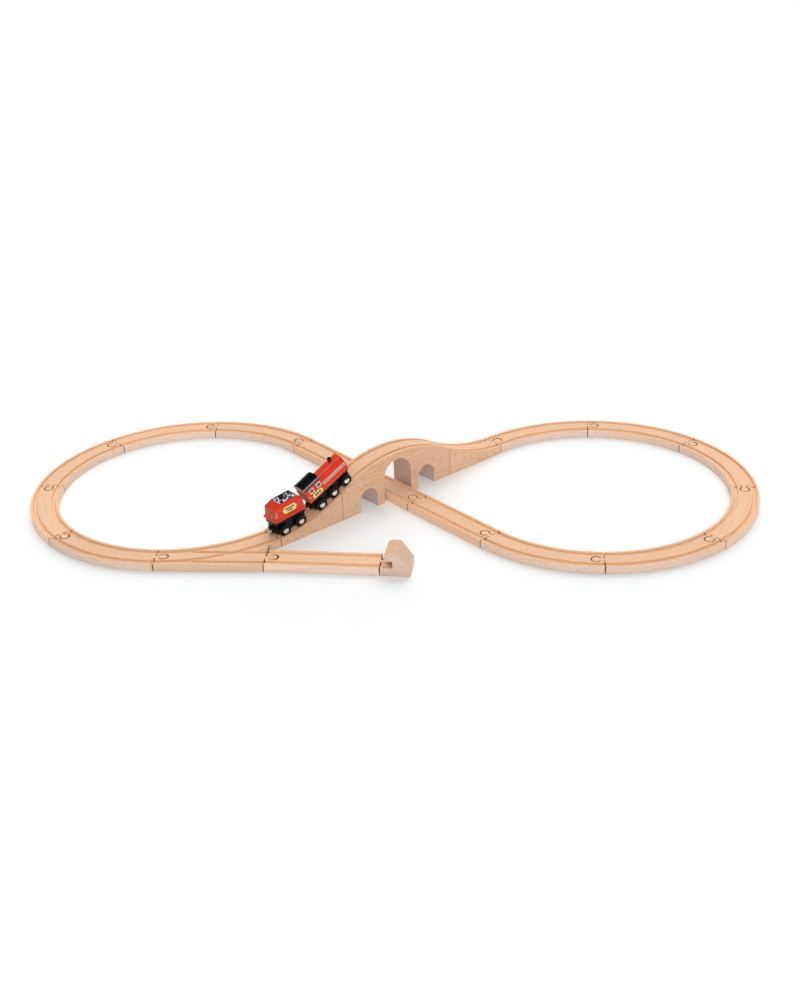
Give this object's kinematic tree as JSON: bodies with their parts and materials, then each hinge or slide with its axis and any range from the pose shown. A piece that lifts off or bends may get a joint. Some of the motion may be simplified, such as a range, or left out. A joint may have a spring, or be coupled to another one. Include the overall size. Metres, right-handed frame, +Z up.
{
  "type": "wooden train set",
  "caption": "Figure-eight wooden railway of grooved beech track with an arched bridge, a switch and a spur to a buffer stop, carrying a red engine and its tender.",
  "frame": {"origin": "on the floor under the middle of the bridge, where the two straight legs of the figure-eight cross at right angles", "axes": "+X through the centres of both loops, from the loop that holds the switch to the other; +Z up; the train stands on the ramp in the -X -Y quarter and heads for +X +Y"},
  "size_m": [1.0824, 0.4824, 0.0963],
  "materials": {
    "beech": "smooth clear-sealed beech",
    "red_paint": "wood under glossy red paint",
    "black_paint": "wood under glossy black paint",
    "black_plastic": "satin moulded plastic",
    "coal": "printed coal lumps, black with pale flecks",
    "steel": "bright nickel plate"
  },
  "bodies": {
    "fixed_track": {"switch_track": "beech", "ramp_up": "beech", "bridge_span": "beech", "ramp_down": "beech", "straight_under_bridge": "beech"},
    "curve_right_1": {"curve_right_1": "beech"},
    "curve_right_2": {"curve_right_2": "beech"},
    "curve_right_3": {"curve_right_3": "beech"},
    "curve_right_4": {"curve_right_4": "beech"},
    "curve_right_5": {"curve_right_5": "beech"},
    "curve_right_6": {"curve_right_6": "beech"},
    "straight_east": {"straight_east": "beech"},
    "straight_west": {"straight_west": "beech"},
    "curve_left_1": {"curve_left_1": "beech"},
    "curve_left_2": {"curve_left_2": "beech"},
    "curve_left_3": {"curve_left_3": "beech"},
    "curve_left_4": {"curve_left_4": "beech"},
    "curve_left_5": {"curve_left_5": "beech"},
    "spur_straight": {"spur_straight": "beech"},
    "buffer_stop": {"buffer_stop": "beech"},
    "engine": {"engine_chassis": "black_plastic", "engine_boiler": "red_paint", "engine_cab": "red_paint", "engine_roof": "black_paint", "engine_chimney": "black_paint", "engine_rear_rivet": "steel"},
    "tender": {"tender_chassis": "black_plastic", "tender_body": "red_paint", "tender_coal": "coal", "tender_front_rivet": "steel", "tender_rear_rivet": "steel"},
    "engine_wheelset_front": {"engine_axle_front": "steel", "engine_wheel_front_left": "black_plastic", "engine_wheel_front_right": "black_plastic"},
    "engine_wheelset_middle": {"engine_axle_middle": "steel", "engine_wheel_middle_left": "black_plastic", "engine_wheel_middle_right": "black_plastic"},
    "engine_wheelset_rear": {"engine_axle_rear": "steel", "engine_wheel_rear_left": "black_plastic", "engine_wheel_rear_right": "black_plastic"},
    "tender_wheelset_front": {"tender_axle_front": "steel", "tender_wheel_front_left": "black_plastic", "tender_wheel_front_right": "black_plastic"},
    "tender_wheelset_rear": {"tender_axle_rear": "steel", "tender_wheel_rear_left": "black_plastic", "tender_wheel_rear_right": "black_plastic"},
    "engine_rear_magnet": {"engine_rear_magnet": "steel"},
    "tender_front_magnet": {"tender_front_magnet": "steel"},
    "tender_rear_magnet": {"tender_rear_magnet": "steel"}
  },
  "joints": [
    {"name": "engine_lift", "type": "slide", "parent": "fixed_track", "child": "engine", "axis": [0, 0, 1], "range_m": [0, 0.06]},
    {"name": "tender_lift", "type": "slide", "parent": "fixed_track", "child": "tender", "axis": [-0.2939, -0.2939, 0.9095], "range_m": [0, 0.06]},
    {"name": "engine_axle_front_spin", "type": "hinge", "parent": "engine", "child": "engine_wheelset_front", "pos_m": [-0.06469, -0.06469, 0.0582], "axis": [-0.7071, 0.7071, 0], "continuous": true},
    {"name": "engine_axle_middle_spin", "type": "hinge", "parent": "engine", "child": "engine_wheelset_middle", "pos_m": [-0.08089, -0.08089, 0.04699], "axis": [-0.7071, 0.7071, 0], "continuous": true},
    {"name": "engine_axle_rear_spin", "type": "hinge", "parent": "engine", "child": "engine_wheelset_rear", "pos_m": [-0.09709, -0.09709, 0.03579], "axis": [-0.7071, 0.7071, 0], "continuous": true},
    {"name": "tender_axle_front_spin", "type": "hinge", "parent": "tender", "child": "tender_wheelset_front", "pos_m": [-0.12431, -0.12431, 0.02419], "axis": [-0.7071, 0.7071, 0], "continuous": true},
    {"name": "tender_axle_rear_spin", "type": "hinge", "parent": "tender", "child": "tender_wheelset_rear", "pos_m": [-0.14383, -0.14383, 0.0195], "axis": [-0.7071, 0.7071, 0], "continuous": true},
    {"name": "engine_rear_magnet_spin", "type": "hinge", "parent": "engine", "child": "engine_rear_magnet", "pos_m": [-0.10812, -0.10812, 0.03214], "axis": [0.6431, 0.6431, 0.4157], "continuous": true},
    {"name": "tender_front_magnet_spin", "type": "hinge", "parent": "tender", "child": "tender_front_magnet", "pos_m": [-0.11453, -0.11453, 0.02758], "axis": [0.7024, 0.7024, 0.1157], "continuous": true},
    {"name": "tender_rear_magnet_spin", "type": "hinge", "parent": "tender", "child": "tender_rear_magnet", "pos_m": [-0.15541, -0.15541, 0.02084], "axis": [0.7024, 0.7024, 0.1157], "continuous": true},
    {"name": "curve_right_1_lift", "type": "slide", "parent": "fixed_track", "child": "curve_right_1", "axis": [0, 0, 1], "range_m": [0, 0.03]},
    {"name": "curve_right_2_lift", "type": "slide", "parent": "fixed_track", "child": "curve_right_2", "axis": [0, 0, 1], "range_m": [0, 0.03]},
    {"name": "curve_right_3_lift", "type": "slide", "parent": "fixed_track", "child": "curve_right_3", "axis": [0, 0, 1], "range_m": [0, 0.03]},
    {"name": "curve_right_4_lift", "type": "slide", "parent": "fixed_track", "child": "curve_right_4", "axis": [0, 0, 1], "range_m": [0, 0.03]},
    {"name": "curve_right_5_lift", "type": "slide", "parent": "fixed_track", "child": "curve_right_5", "axis": [0, 0, 1], "range_m": [0, 0.03]},
    {"name": "curve_right_6_lift", "type": "slide", "parent": "fixed_track", "child": "curve_right_6", "axis": [0, 0, 1], "range_m": [0, 0.03]},
    {"name": "straight_east_lift", "type": "slide", "parent": "fixed_track", "child": "straight_east", "axis": [0, 0, 1], "range_m": [0, 0.03]},
    {"name": "straight_west_lift", "type": "slide", "parent": "fixed_track", "child": "straight_west", "axis": [0, 0, 1], "range_m": [0, 0.03]},
    {"name": "curve_left_1_lift", "type": "slide", "parent": "fixed_track", "child": "curve_left_1", "axis": [0, 0, 1], "range_m": [0, 0.03]},
    {"name": "curve_left_2_lift", "type": "slide", "parent": "fixed_track", "child": "curve_left_2", "axis": [0, 0, 1], "range_m": [0, 0.03]},
    {"name": "curve_left_3_lift", "type": "slide", "parent": "fixed_track", "child": "curve_left_3", "axis": [0, 0, 1], "range_m": [0, 0.03]},
    {"name": "curve_left_4_lift", "type": "slide", "parent": "fixed_track", "child": "curve_left_4", "axis": [0, 0, 1], "range_m": [0, 0.03]},
    {"name": "curve_left_5_lift", "type": "slide", "parent": "fixed_track", "child": "curve_left_5", "axis": [0, 0, 1], "range_m": [0, 0.03]},
    {"name": "spur_straight_lift", "type": "slide", "parent": "fixed_track", "child": "spur_straight", "axis": [0, 0, 1], "range_m": [0, 0.03]},
    {"name": "buffer_stop_lift", "type": "slide", "parent": "spur_straight", "child": "buffer_stop", "axis": [0, 0, 1], "range_m": [0, 0.03]}
  ]
}
